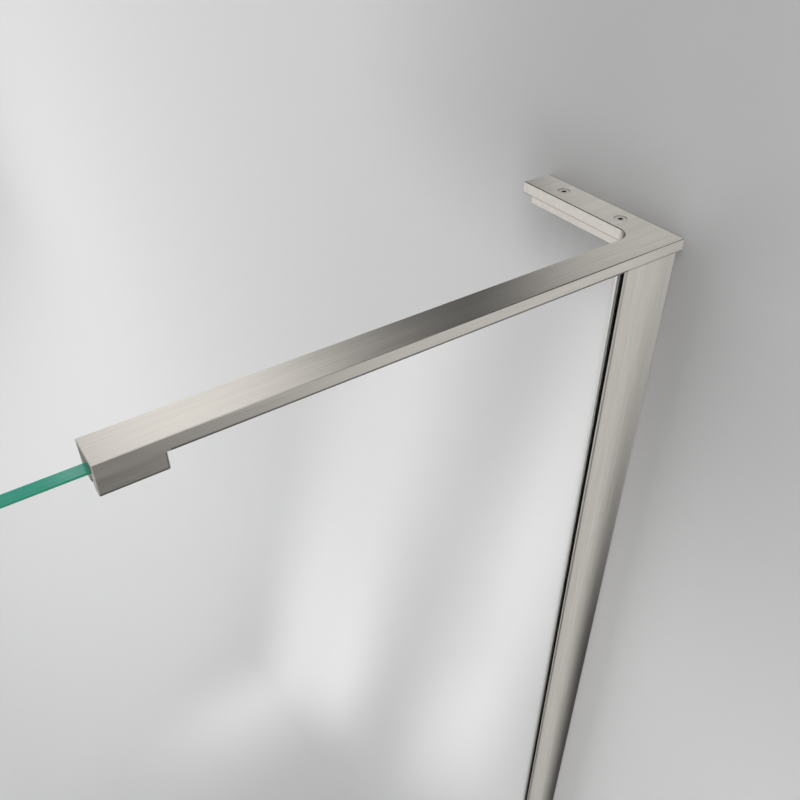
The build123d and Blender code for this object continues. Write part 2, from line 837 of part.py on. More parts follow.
# The pulls, the same on both sides of the door, joined through the glass
post_start = half_glass + pull_washer_thickness
post_length = half_glass + pull_stand_off - post_start
bar_length = pull_centres + 2 * pull_overhang
stud_length = 2 * (post_start + pull_stud_engagement)
for side, name in ((-1, "outer"), (1, "inner")):
    outward = Plane(origin=(pull_x, 0, pull_height), x_dir=(1, 0, 0), z_dir=(0, side, 0))
    with BuildPart() as pull_bar:
        with BuildSketch(outward.offset(half_glass + pull_stand_off)):
            Rectangle(pull_bar_size, bar_length)
        extrude(amount=pull_bar_size)
        chamfer(pull_bar.edges(), pull_bar_break)
    write(pull_bar, f"{name}_pull_bar")
    with BuildPart() as pull_posts:
        with BuildSketch(outward.offset(post_start)):
            with GridLocations(0, pull_centres, 1, 2):
                Circle(pull_post_radius)
        extrude(amount=post_length)
        with BuildSketch(outward.offset(post_start)):
            with GridLocations(0, pull_centres, 1, 2):
                Circle(pull_stud_radius + fit)
        extrude(amount=pull_stud_engagement + slip, mode=Mode.SUBTRACT)
        if side > 0:
            for x, z in pull_holes:
                with Locations((x, post_start + pull_grub_in, z - pull_post_radius)):
                    Cylinder(pull_grub_radius + fit, pull_post_radius, mode=Mode.SUBTRACT)
    write(pull_posts, f"{name}_pull_posts")

with BuildPart() as pull_studs:
    with BuildSketch(Plane.XZ.offset(-stud_length / 2)):
        with Locations(*pull_holes):
            Circle(pull_stud_radius)
    extrude(amount=stud_length)
write(pull_studs, "pull_studs")

with BuildPart() as pull_washers:
    for face_y in (half_glass, -post_start):
        with BuildSketch(Plane.XZ.offset(-face_y)):
            with Locations(*pull_holes):
                Circle(pull_washer_radius)
                Circle(pull_stud_radius + slip, mode=Mode.SUBTRACT)
        extrude(amount=-pull_washer_thickness)
write(pull_washers, "pull_washers")

pull_grub_length = pull_post_radius - pull_stud_radius - bar_screw_sink - slip
pull_grub = grub_screw(pull_grub_radius, pull_grub_length, pull_grub_hex)
pull_grub_places = [
    Plane(
        origin=(x, post_start + pull_grub_in, z - pull_post_radius + bar_screw_sink),
        x_dir=(1, 0, 0),
        z_dir=(0, 0, -1),
    ).location
    for x, z in pull_holes
]
with BuildPart() as pull_grub_screws:
    with Locations(*pull_grub_places):
        add(pull_grub)
write(pull_grub_screws, "pull_grub_screws")


# The clear seals, each a U that grips a glass edge

def seal_grip():
    """A U section about the origin, with the glass edge at x = 0 and the glass at x > 0."""
    with Locations((-seal_wall, 0)):
        Rectangle(seal_wall + seal_leg, glass_thickness + 2 * seal_wall, align=(Align.MIN, Align.CENTER))
    Rectangle(seal_leg, glass_thickness, align=(Align.MIN, Align.CENTER), mode=Mode.SUBTRACT)


def seal_bulb(radius):
    """A hollow bulb on the outside of a seal's web."""
    with Locations((-seal_wall - radius, 0)):
        Circle(radius)
    with Locations((-seal_wall, 0)):
        Rectangle(radius, radius, align=(Align.MAX, Align.CENTER))
    with Locations((-seal_wall - radius, 0)):
        Circle(radius - seal_wall, mode=Mode.SUBTRACT)


hinge_clear = half_hinge + barrel_notch_clearance
seal_stops = [
    floor_channel_height + floor_gasket_proud + seal_end_gap,
    hinge_lower_height - hinge_clear,
    hinge_lower_height + hinge_clear,
    hinge_upper_height - hinge_clear,
    hinge_upper_height + hinge_clear,
    glass_top,
]
with BuildPart() as hinge_edge_seal:
    for low, high in zip(seal_stops[0::2], seal_stops[1::2]):
        with BuildSketch(Plane(origin=(panel_edge, 0, low), x_dir=(1, 0, 0), z_dir=(0, 0, 1))):
            seal_grip()
            seal_bulb((hinge_seal_reach - seal_wall) / 2)
        extrude(amount=high - low)
write(hinge_edge_seal, "hinge_edge_seal")

strike_low = door_floor_gap + seal_leg + seal_end_gap
with BuildPart() as strike_edge_seal:
    strike_plane = Plane(
        origin=(door_free_edge, 0, strike_low), x_dir=(1, 0, 0), z_dir=(0, 0, 1)
    )
    with BuildSketch(strike_plane):
        seal_grip()
        seal_bulb(strike_bulb_radius)
    extrude(amount=glass_top - strike_low)
write(strike_edge_seal, "strike_edge_seal")

bottom_seal_length = door_width - 2 * seal_end_gap
with BuildPart() as door_bottom_seal:
    bottom_plane = Plane(
        origin=(door_free_edge + seal_end_gap, 0, door_floor_gap),
        x_dir=(0, 0, 1),
        z_dir=(1, 0, 0),
    )
    with BuildSketch(bottom_plane):
        seal_grip()
        with BuildLine():
            Polyline(
                (-seal_wall, -fin_thickness / 2),
                (-bottom_seal_reach, bottom_fin_lean - fin_thickness),
                (-bottom_seal_reach, bottom_fin_lean),
                (-seal_wall, fin_thickness / 2),
                close=True,
            )
        make_face()
    extrude(amount=bottom_seal_length)
write(door_bottom_seal, "door_bottom_seal")
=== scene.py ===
"""Hinged shower door held from one wall: finishes, fine pieces and stage.

Metres throughout. The wall is the plane x = 0, the glass is centred on y = 0
with its outer side at y < 0, and the curb is z = 0.
"""

from functools import reduce
from math import pi, radians

import bpy
import numpy as np
from bpy.props import FloatProperty, FloatVectorProperty, PointerProperty
from mathutils import Matrix, Vector


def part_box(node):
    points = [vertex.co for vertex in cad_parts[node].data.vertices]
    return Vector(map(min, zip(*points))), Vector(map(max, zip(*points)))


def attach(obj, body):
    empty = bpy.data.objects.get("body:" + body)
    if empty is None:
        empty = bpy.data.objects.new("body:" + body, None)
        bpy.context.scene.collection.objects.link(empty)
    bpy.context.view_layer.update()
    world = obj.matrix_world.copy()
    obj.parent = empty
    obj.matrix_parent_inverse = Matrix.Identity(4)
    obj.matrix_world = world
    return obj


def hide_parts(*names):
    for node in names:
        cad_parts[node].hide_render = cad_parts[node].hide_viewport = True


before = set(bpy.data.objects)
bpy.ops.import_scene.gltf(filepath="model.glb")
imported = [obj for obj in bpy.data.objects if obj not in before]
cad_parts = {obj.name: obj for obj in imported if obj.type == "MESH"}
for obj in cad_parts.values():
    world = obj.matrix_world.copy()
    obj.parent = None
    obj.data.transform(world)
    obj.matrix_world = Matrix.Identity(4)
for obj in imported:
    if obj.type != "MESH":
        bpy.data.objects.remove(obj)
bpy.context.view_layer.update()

bl_info = {
    "name": "Hinged Shower Door",
    "version": (1, 0, 0),
    "blender": (4, 5, 0),
    "location": "3D View > Sidebar > Shower Door",
    "description": "Glass, nickel, gaskets and stage of a hinged shower door",
    "category": "Object",
}


# Sizes and colours that a user would change

class GlassSettings(bpy.types.PropertyGroup):
    """The two panes."""

    arris: FloatProperty(
        name="Arris", description="Width of the ground corner between face and edge",
        default=0.0008, unit="LENGTH")
    face_colour: FloatVectorProperty(
        name="Face colour", description="Tint of the clear faces",
        default=(0.985, 0.992, 0.988), subtype="COLOR")
    edge_colour: FloatVectorProperty(
        name="Edge colour", description="Green of the polished edge",
        default=(0.080, 0.460, 0.335), subtype="COLOR")
    arris_colour: FloatVectorProperty(
        name="Arris colour", description="Darker green of the ground corner",
        default=(0.006, 0.370, 0.220), subtype="COLOR")
    notch_half_height: FloatProperty(
        name="Notch half height", description="Half the height of the notch round a hinge core",
        default=0.027, unit="LENGTH")
    notch_radius: FloatProperty(
        name="Notch radius", description="Corner radius of the notch round a hinge core",
        default=0.010, unit="LENGTH")
    panel_notch_depth: FloatProperty(
        name="Panel notch depth", description="How far a notch goes into the stationary pane",
        default=0.0255, unit="LENGTH")
    door_notch_depth: FloatProperty(
        name="Door notch depth", description="How far a notch goes into the swinging pane",
        default=0.0465, unit="LENGTH")
    knuckle_notch_half_height: FloatProperty(
        name="Knuckle notch half height", description="Half the height of the notch at the knuckles",
        default=0.0475, unit="LENGTH")
    knuckle_notch_depth: FloatProperty(
        name="Knuckle notch depth", description="How far the notch at the knuckles goes in",
        default=0.021, unit="LENGTH")
    knuckle_notch_radius: FloatProperty(
        name="Knuckle notch radius", description="Corner radius of the notch at the knuckles",
        default=0.004, unit="LENGTH")
    pull_hole_radius: FloatProperty(
        name="Pull hole radius", description="Radius of the holes for the pull",
        default=0.006, unit="LENGTH")


class NickelSettings(bpy.types.PropertyGroup):
    """The brushed nickel."""

    colour: FloatVectorProperty(
        name="Colour", description="Body colour of the nickel",
        default=(0.80, 0.762, 0.703), subtype="COLOR")
    roughness: FloatProperty(
        name="Roughness", description="Mean roughness", default=0.34, min=0.0, max=1.0)
    grain_contrast: FloatProperty(
        name="Grain contrast", description="How much the grain changes the colour",
        default=0.15, min=0.0, max=1.0)
    grain_relief: FloatProperty(
        name="Grain relief", description="Strength of the grain's bump",
        default=0.10, min=0.0, max=1.0)


class ProfileSettings(bpy.types.PropertyGroup):
    """The section of the wall profile."""

    wall_half_width: FloatProperty(
        name="Wall half width", description="Half width at the wall",
        default=0.00835, unit="LENGTH")
    mouth_half_width: FloatProperty(
        name="Mouth half width", description="Half width at the mouth",
        default=0.0078, unit="LENGTH")
    skin: FloatProperty(
        name="Skin", description="Thickness of the curved sides", default=0.0018, unit="LENGTH")
    back_lip: FloatProperty(
        name="Back lip", description="Thickness of the lip behind the glass",
        default=0.0025, unit="LENGTH")
    back_lip_depth: FloatProperty(
        name="Back lip depth", description="How deep that lip is", default=0.004, unit="LENGTH")
    lip_radius: FloatProperty(
        name="Lip radius", description="Rounding of the lips' outer corners",
        default=0.0015, unit="LENGTH")


class StageSettings(bpy.types.PropertyGroup):
    """Wall, floor, lamps and camera."""

    wall_colour: FloatVectorProperty(
        name="Wall colour", description="Colour of the wall behind the door",
        default=(0.78, 0.78, 0.78), subtype="COLOR")
    # Painted shade of the wall: high up in the corner, near its top and round the bar's arm the wall
    # is blended towards this colour
    corner_shade_colour: FloatVectorProperty(
        name="Corner shade colour", description="Colour of the wall high up in the corner",
        default=(0.55, 0.55, 0.55), subtype="COLOR")
    lamp_power: FloatProperty(
        name="Lamp power", description="Watts of the large soft lamp", default=18.0)
    lens: FloatProperty(name="Lens", description="Focal length in millimetres", default=36.92)


SETTINGS = {
    "shower_glass": GlassSettings,
    "shower_nickel": NickelSettings,
    "shower_profile": ProfileSettings,
    "shower_stage": StageSettings,
}


def settings(name):
    """One group of settings, from the scene."""
    return getattr(bpy.context.scene, name)


# Curves and surfaces, worked out as whole arrays

def arc(start, middle, end, count):
    """Points on the circle through three points.

    The centre solves two equal-distance equations, and the angle goes evenly
    from the first point to the last by way of the middle one.
    """
    a, b, c = (np.asarray(p, float) for p in (start, middle, end))
    centre = np.linalg.solve(2 * np.array([b - a, c - a]), [b @ b - a @ a, c @ c - a @ a])
    radius = np.linalg.norm(a - centre)
    turn = np.unwrap([np.arctan2(*(p - centre)[::-1]) for p in (a, b, c)])
    angle = np.linspace(turn[0], turn[2], count)
    return centre + radius * np.stack([np.cos(angle), np.sin(angle)], axis=1)


def rounded(corners, radii, count=10):
    """A closed outline whose corners are arcs.

    An arc of radius r leaves each side r / tan(half the corner's angle) from
    the corner. Its centre lies r / sin(half the angle) along the bisector.
    """
    points = np.asarray(corners, float)
    pieces = []
    for n, radius in enumerate(radii):
        corner = points[n]
        to_last = points[n - 1] - corner
        to_next = points[(n + 1) % len(points)] - corner
        if not radius:
            pieces.append(corner[None])
            continue
        to_last /= np.linalg.norm(to_last)
        to_next /= np.linalg.norm(to_next)
        half = np.arccos(np.clip(to_last @ to_next, -1, 1)) / 2
        bisector = (to_last + to_next) / np.linalg.norm(to_last + to_next)
        first = corner + to_last * radius / np.tan(half)
        last = corner + to_next * radius / np.tan(half)
        middle = corner + bisector * (radius / np.sin(half) - radius)
        pieces.append(arc(first, middle, last, count))
    return np.concatenate(pieces)


def inset(outline, distance):
    """A closed outline moved to its left by a distance.

    Each point moves along the sum of its two sides' normals, divided by one
    plus their dot product.
    """
    side = np.roll(outline, -1, axis=0) - outline
    side /= np.linalg.norm(side, axis=1, keepdims=True)
    normal = np.stack([-side[:, 1], side[:, 0]], axis=1)
    before = np.roll(normal, 1, axis=0)
    dot = np.sum(normal * before, axis=1, keepdims=True)
    return outline + distance * (normal + before) / (1 + dot)


def ring_faces(rings, around):
    """Quads between neighbouring rings of a surface that closes round itself."""
    ring, step = np.meshgrid(np.arange(rings - 1), np.arange(around), indexing="ij")
    after = (step + 1) % around
    quad = [ring * around + step, ring * around + after,
            (ring + 1) * around + after, (ring + 1) * around + step]
    return np.stack(quad, axis=-1).reshape(-1, 4)


def new_piece(name, points, faces, materials, indices=None, smooth=None):
    """A mesh object at the origin from an array of points and a list of faces."""
    mesh = bpy.data.meshes.new(name)
    mesh.from_pydata(np.asarray(points, float).tolist(), [], faces)
    for material in materials:
        mesh.materials.append(material)
    if indices is not None:
        mesh.polygons.foreach_set("material_index", np.asarray(indices, dtype=np.int32))
    if smooth is not None:
        mesh.shade_smooth()
        mesh.set_sharp_from_angle(angle=smooth)
    mesh.validate()
    mesh.update()
    piece = bpy.data.objects.new(name, mesh)
    bpy.context.scene.collection.objects.link(piece)
    return piece


def belongs(piece, body, slot, *nodes):
    """The piece rides on a body and stands for CAD nodes, which it hides. The slot is not used."""
    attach(piece, body)
    if nodes:
        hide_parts(*nodes)


def upright(section, low, high):
    """A closed section carried straight up, with flat ends.

    Point (u, v) is point u of the section at height v.
    """
    count = len(section)
    points = np.column_stack([np.tile(section, (2, 1)), np.repeat([low, high], count)])
    faces = ring_faces(2, count).tolist()
    faces.append(list(range(count))[::-1])
    faces.append(list(range(count, 2 * count)))
    return points, faces


# Shader node groups for effects that several finishes use

def group(name, inputs, outputs):
    """An empty node group with its sockets, and its two end nodes."""
    tree = bpy.data.node_groups.new(name, "ShaderNodeTree")
    for label, kind, value in inputs:
        socket = tree.interface.new_socket(label, in_out="INPUT", socket_type=kind)
        if value is not None:
            socket.default_value = value
    for label, kind in outputs:
        tree.interface.new_socket(label, in_out="OUTPUT", socket_type=kind)
    return tree, tree.nodes.new("NodeGroupInput"), tree.nodes.new("NodeGroupOutput")


def node(tree, kind, links=(), **values):
    """A node with its properties set, its sockets filled and its inputs linked."""
    made = tree.nodes.new(kind)
    for key, value in values.items():
        if hasattr(made, key):
            setattr(made, key, value)
        else:
            made.inputs[key.replace("_", " ")].default_value = value
    for socket, source in dict(links).items():
        tree.links.new(source, made.inputs[socket])
    return made


def make_grain_group():
    """Brushed grain: two stretched noises, one fine and one broad.

    The vector comes in already drawn out across the grain. Tone is near one
    half, and height is the fine noise alone.
    """
    tree, start, end = group(
        "Brushed Grain",
        [("Vector", "NodeSocketVector", None), ("Broad Share", "NodeSocketFloat", 0.35)],
        [("Tone", "NodeSocketFloat"), ("Height", "NodeSocketFloat")],
    )
    fine = node(tree, "ShaderNodeTexNoise", {"Vector": start.outputs["Vector"]},
                Scale=1.0, Detail=4.0, Roughness=0.62)
    shrunk = node(tree, "ShaderNodeVectorMath", {0: start.outputs["Vector"]}, operation="MULTIPLY")
    shrunk.inputs[1].default_value = (0.13, 0.13, 0.13)
    broad = node(tree, "ShaderNodeTexNoise", {"Vector": shrunk.outputs[0]},
                 Scale=1.0, Detail=2.0, Roughness=0.5)
    blend = node(tree, "ShaderNodeMix", {"Factor": start.outputs["Broad Share"],
                 2: fine.outputs[0], 3: broad.outputs[0]})
    tree.links.new(blend.outputs[0], end.inputs["Tone"])
    tree.links.new(fine.outputs[0], end.inputs["Height"])


def make_mottle_group():
    """Slow cloudy change of tone with a fine speckle over it, for moulded pieces."""
    tree, start, end = group(
        "Moulded Mottle",
        [("Scale", "NodeSocketFloat", 60.0)],
        [("Tone", "NodeSocketFloat"), ("Height", "NodeSocketFloat")],
    )
    place = node(tree, "ShaderNodeTexCoord")
    slow = node(tree, "ShaderNodeTexNoise", {"Vector": place.outputs["Object"],
                "Scale": start.outputs["Scale"]}, Detail=2.0)
    finer = add_math(tree, "MULTIPLY", start.outputs["Scale"], 22.0)
    speckle = node(tree, "ShaderNodeTexNoise", {"Vector": place.outputs["Object"],
                   "Scale": finer}, Detail=3.0)
    tone = add_math(tree, "ADD", slow.outputs[0], speckle.outputs[0])
    half = add_math(tree, "MULTIPLY", tone, 0.5)
    tree.links.new(half, end.inputs["Tone"])
    tree.links.new(speckle.outputs[0], end.inputs["Height"])


def add_math(tree, operation, *sources):
    """A maths node whose inputs are sockets or plain numbers."""
    made = node(tree, "ShaderNodeMath", operation=operation)
    for index, source in enumerate(sources):
        if isinstance(source, (int, float)):
            made.inputs[index].default_value = source
        else:
            tree.links.new(source, made.inputs[index])
    return made.outputs[0]


def chain(tree, operation, sources):
    """One maths operation on the first two sources, then on the result and each of the rest."""
    return reduce(lambda result, source: add_math(tree, operation, result, source), sources)


def ease(tree, source, start, end, low=0.0, high=1.0):
    """An eased ramp from low at start to high at end."""
    made = node(tree, "ShaderNodeMapRange", {"Value": source}, interpolation_type="SMOOTHSTEP",
                From_Min=start, From_Max=end, To_Min=low, To_Max=high)
    return made.outputs[0]


def blend_colour(tree, factor, before, after):
    """One colour at factor nought and another at factor one, each a socket or three numbers."""
    mix = node(tree, "ShaderNodeMix", {"Factor": factor}, data_type="RGBA")
    for index, colour in ((6, before), (7, after)):
        if isinstance(colour, bpy.types.NodeSocket):
            tree.links.new(colour, mix.inputs[index])
        else:
            mix.inputs[index].default_value = (*colour, 1)
    return mix.outputs[2]


def principled(name, colour, **sockets):
    """A new material with one Principled shader whose plain values are set."""
    material = bpy.data.materials.new(name)
    material.use_nodes = True
    shader = material.node_tree.nodes["Principled BSDF"]
    shader.inputs["Base Color"].default_value = (*colour, 1)
    for key, value in sockets.items():
        shader.inputs[key.replace("_", " ")].default_value = value
    return material, material.node_tree, shader


def vary(tree, shader, tone, colour, contrast, roughness, spread):
    """Tone around one half moves the colour by the contrast and the roughness by the spread."""
    dark = [c * (1 - contrast) for c in colour]
    light = [min(1.0, c * (1 + contrast)) for c in colour]
    usual = {"From_Min": 0.3, "From_Max": 0.7}
    tint = node(tree, "ShaderNodeMapRange", {"Value": tone}, **usual)
    tree.links.new(blend_colour(tree, tint.outputs[0], dark, light), shader.inputs["Base Color"])
    rough = node(tree, "ShaderNodeMapRange", {"Value": tone}, **usual,
                 To_Min=roughness - spread, To_Max=roughness + spread)
    tree.links.new(rough.outputs[0], shader.inputs["Roughness"])


def relief(tree, shader, height, strength, distance):
    """A bump from a height."""
    bump = node(tree, "ShaderNodeBump", {"Height": height}, Strength=strength, Distance=distance)
    tree.links.new(bump.outputs[0], shader.inputs["Normal"])


# How finely the nickel's grain is cut along the brushing and across it
GRAIN_ALONG, GRAIN_ACROSS = 22.0, 1100.0


def drawn_grain(tree, stretch):
    """The brushed grain's outputs: the stretch is how finely each axis cuts the grain."""
    place = node(tree, "ShaderNodeTexCoord")
    drawn = node(tree, "ShaderNodeMapping", {"Vector": place.outputs["Object"]})
    drawn.inputs["Scale"].default_value = stretch
    grain = node(tree, "ShaderNodeGroup", node_tree=bpy.data.node_groups["Brushed Grain"])
    tree.links.new(drawn.outputs[0], grain.inputs["Vector"])
    return grain.outputs


def brushed_nickel(name, axis):
    """Nickel brushed along one axis."""
    look = settings("shower_nickel")
    colour = tuple(look.colour)
    material, tree, shader = principled(name, colour, Metallic=1.0, Roughness=look.roughness)
    grain = drawn_grain(tree, [GRAIN_ALONG if n == axis else GRAIN_ACROSS for n in range(3)])
    vary(tree, shader, grain["Tone"], colour, look.grain_contrast, look.roughness, 0.05)
    relief(tree, shader, grain["Height"], look.grain_relief, 0.0002)
    return material


# Ramps of the bar's painted shade lines: start and end, then low and high where they aren't 0 and 1.
# Those of the block and the underside are measured from there.
BAR_SHADE_RAMPS = {
    "past_block_x": (0.001, 0.003),
    "back_line_z": (0.0009, 0.0003),
    "front_line_z": (0.0018, 0.0005),
    "front_side_y": (0.0, -0.01),
    "front_to_profile_x": (-0.058, -0.052, 0.75, 0.3),
    "bevel_steeper": (0.4, 0.6),
    "bevel_flatter": (0.95, 0.85),
    "bevel_to_wall_x": (-0.24, -0.06, 0.0, 0.62),
    "bend_facing": (0.30, 0.60),
    "bend_y": (0.040, 0.025),
    "bend_x": (-0.060, -0.040),
    "foot_z": (0.0022, 0.0010, 0.0, 0.6),
    "step_x": (-0.0016, -0.0006),
    "step_z": (0.0, -0.0005, 0.0, 0.6),
    "free_end_facing": (-0.6, -0.9),
    "free_end_x": (-0.42, -0.43, 0.0, 0.45),
}
# How much of the painted shade the back line and the inside bend take, and the colour of that
# painted shade
BACK_LINE_SHADE_SHARE, BEND_SHADE_SHARE = 0.5, 0.85
PAINTED_SHADE_COLOUR = (0.03, 0.03, 0.03)


def paint_bar_edge_shade(material, underside, block_end, block_foot):
    """Painted shade on the bar: thin dark lines along its edges, a dark inside corner and a darker
    free end.

    Each is a product of eased ramps over the place and the object's own normal.
    """
    tree = material.node_tree
    shader = tree.nodes["Principled BSDF"]
    place = node(tree, "ShaderNodeTexCoord")
    x, y, z = node(tree, "ShaderNodeSeparateXYZ", {0: place.outputs["Object"]}).outputs
    facing = node(tree, "ShaderNodeSeparateXYZ", {0: place.outputs["Normal"]}).outputs

    def ramp(name, source, edge=0.0):
        start, end, *levels = BAR_SHADE_RAMPS[name]
        return ease(tree, source, edge + start, edge + end, *levels)

    def times(*factors):
        return chain(tree, "MULTIPLY", factors)

    back = times(ramp("back_line_z", z, underside), BACK_LINE_SHADE_SHARE)
    front = times(ramp("front_line_z", z, underside), ramp("front_side_y", y),
                  ramp("front_to_profile_x", x))
    lower = times(add_math(tree, "MAXIMUM", back, front), ramp("past_block_x", x, block_end))
    bevel = times(ramp("bevel_steeper", facing["Z"]), ramp("bevel_flatter", facing["Z"]),
                  ramp("bevel_to_wall_x", x))
    bend = times(ramp("bend_facing", facing["Y"]), ramp("bend_y", y), ramp("bend_x", x), BEND_SHADE_SHARE)
    foot = ramp("foot_z", z, block_foot)
    step = times(ramp("step_x", x, block_end), ramp("step_z", z, underside))
    free_end = times(ramp("free_end_facing", facing["X"]), ramp("free_end_x", x))
    # The most of these is the painted shade that darkens the bar's colour
    dark = chain(tree, "MAXIMUM", (lower, bend, bevel, foot, step, free_end))
    before = shader.inputs["Base Color"].links[0].from_socket
    tree.links.new(blend_colour(tree, dark, before, PAINTED_SHADE_COLOUR), shader.inputs["Base Color"])


def moulded(name, colour, roughness, scale=60.0, contrast=0.08, **sockets):
    """Rubber or plastic with a cloudy tone and a fine skin."""
    material, tree, shader = principled(name, colour, Roughness=roughness, **sockets)
    mottle = node(tree, "ShaderNodeGroup", node_tree=bpy.data.node_groups["Moulded Mottle"])
    mottle.inputs["Scale"].default_value = scale
    vary(tree, shader, mottle.outputs["Tone"], colour, contrast, roughness, 0.06)
    relief(tree, shader, mottle.outputs["Height"], 0.12, 0.0001)
    return material


def clear_glass(name):
    """Clear glass faces."""
    colour = tuple(settings("shower_glass").face_colour)
    return principled(name, colour, Roughness=0.0, IOR=1.5, Transmission_Weight=1.0)[0]


def glass_edge(name, colour, roughness):
    """The green edge, with the long streaks of the polishing wheel."""
    material, tree, shader = principled(name, colour, Roughness=roughness, IOR=1.5)
    grain = drawn_grain(tree, (6.0, 900.0, 6.0))
    vary(tree, shader, grain["Tone"], colour, 0.10, roughness, 0.04)
    return material


# What each CAD node that stays is finished in
NICKEL_BAR = ["l_bar"]
NICKEL_ALONG_X = ["wall_bracket", "floor_channel"]
NICKEL_ALONG_Z = [
    "lower_hinge_panel_leaf", "upper_hinge_panel_leaf", "lower_hinge_panel_clamp_plate",
    "upper_hinge_panel_clamp_plate", "lower_hinge_door_leaf", "upper_hinge_door_leaf",
    "lower_hinge_door_clamp_plate", "upper_hinge_door_clamp_plate", "outer_pull_bar",
    "inner_pull_bar", "wall_profile",
]
NICKEL_ALONG_Y = ["outer_pull_posts", "inner_pull_posts"]
STEEL = [
    "bar_screws", "clamp_grub_screws", "profile_fixing_screws", "panel_hinge_screws",
    "door_hinge_screws", "lower_hinge_pin", "upper_hinge_pin", "pull_studs", "pull_grub_screws",
]
BLACK = ["profile_front_gasket", "profile_back_gasket"]
GREY = ["floor_channel_gaskets", "panel_hinge_gaskets", "door_hinge_gaskets", "setting_blocks",
        "clamp_liner", "bar_cushion_strip"]
VINYL = ["hinge_edge_seal", "door_bottom_seal", "strike_edge_seal", "pull_washers"]
NYLON = ["lower_hinge_bushes", "upper_hinge_bushes"]


class SHOWER_DOOR_OT_finishes(bpy.types.Operator):
    """Make the finishes and give them to the CAD nodes"""

    bl_idname = "shower_door.finishes"
    bl_label = "Finishes"

    def execute(self, context):
        make_grain_group()
        make_mottle_group()
        glass = settings("shower_glass")
        finishes = {
            brushed_nickel("Nickel Bar", 0): NICKEL_BAR,
            brushed_nickel("Nickel Along X", 0): NICKEL_ALONG_X,
            brushed_nickel("Nickel Along Y", 1): NICKEL_ALONG_Y,
            brushed_nickel("Nickel Along Z", 2): NICKEL_ALONG_Z,
            moulded("Screw Steel", (0.68, 0.65, 0.61), 0.28, 220.0, 0.06, Metallic=1.0): STEEL,
            # Painted shade: this near-black steel stands in for the shade inside the sockets and
            # round the heads' rims
            moulded("Screw Socket", (0.05, 0.05, 0.05), 0.5, 220.0, 0.06, Metallic=1.0): [],
            moulded("Mill Aluminium", (0.66, 0.66, 0.67), 0.42, 90.0, 0.05,
                    Metallic=1.0): ["wall_channel"],
            moulded("Black Gasket", (0.011, 0.011, 0.008), 0.6, Specular_IOR_Level=0.25): BLACK,
            moulded("Grey Gasket", (0.42, 0.42, 0.41), 0.6): GREY,
            moulded("White Nylon", (0.78, 0.77, 0.74), 0.42): NYLON,
            moulded("Grey Cap", (0.50, 0.48, 0.46), 0.38): ["profile_screw_caps"],
            moulded("Clear Vinyl", (0.93, 0.95, 0.95), 0.16, 80.0, 0.02, IOR=1.45,
                    Transmission_Weight=0.92): VINYL,
        }
        for material, names in finishes.items():
            for name in names:
                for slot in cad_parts[name].material_slots:
                    slot.material = material
        # Painted shade on the bar's edges, in its inside corner and on its free end
        paint_bar_edge_shade(bpy.data.materials["Nickel Bar"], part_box("wall_bracket")[1][2],
                         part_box("clamp_liner")[1][0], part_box("l_bar")[0][2])
        clear_glass("Clear Glass")
        glass_edge("Glass Edge", tuple(glass.edge_colour), 0.12)
        glass_edge("Glass Arris", tuple(glass.arris_colour), 0.3)
        return {"FINISHED"}


# The panes

GLASS_THICKNESS = 0.010


def notch(edge, height, direction, depths, halves, radii):
    """Corners and radii of a stepped notch in an upright edge, from its lower end to its upper.

    Step n lies depths[n] in from the edge and goes halves[n] above and below the middle.
    """
    corners, rounds = [], []
    last_depth = 0.0
    for depth, half, radius in zip(depths, halves, radii):
        corners += [(edge + direction * last_depth, height - half),
                    (edge + direction * depth, height - half)]
        rounds += [0.0, radius]
        last_depth = depth
    mirrored = [(x, 2 * height - z) for x, z in corners[::-1]]
    return corners + mirrored, rounds + rounds[::-1]


def pane_edges(loop, half, arris):
    """Four rings round a closed loop: face corner, edge, edge, face corner.

    The first and last ring are inset by the arris and lie on the faces.
    """
    inner = inset(loop, arris)
    plan = [inner, loop, loop, inner]
    depth = [-half, arris - half, half - arris, half]
    points = np.concatenate([np.column_stack([p[:, 0], np.full(len(p), y), p[:, 1]])
                             for p, y in zip(plan, depth)])
    faces = ring_faces(4, len(loop))
    kind = np.repeat([2, 1, 2], len(loop))
    return points, faces, kind


def make_pane(name, outline, faces_at, holes, half, arris, materials):
    """A pane: edge bands round its outline and holes, and flat faces on both sides."""
    points, faces, kinds = [], [], []
    count = 0
    for loop in [outline, *holes]:
        ring, quads, kind = pane_edges(loop, half, arris)
        points.append(ring)
        faces += (quads + count).tolist()
        kinds += kind.tolist()
        count += len(ring)
    for loop in faces_at:
        for y in (-half, half):
            points.append(np.column_stack([loop[:, 0], np.full(len(loop), y), loop[:, 1]]))
            order = list(range(count, count + len(loop)))
            faces.append(order if y < 0 else order[::-1])
            kinds.append(0)
            count += len(loop)
    pane = new_piece(name, np.concatenate(points), faces, materials, kinds)
    pane.visible_shadow = False
    return pane


def circle_points(x, z, radius, start, turn, count=24):
    """Points on a circle, from a start angle through a turn."""
    angle = start + np.linspace(0, turn, count)
    return np.column_stack([x + radius * np.cos(angle), z + radius * np.sin(angle)])


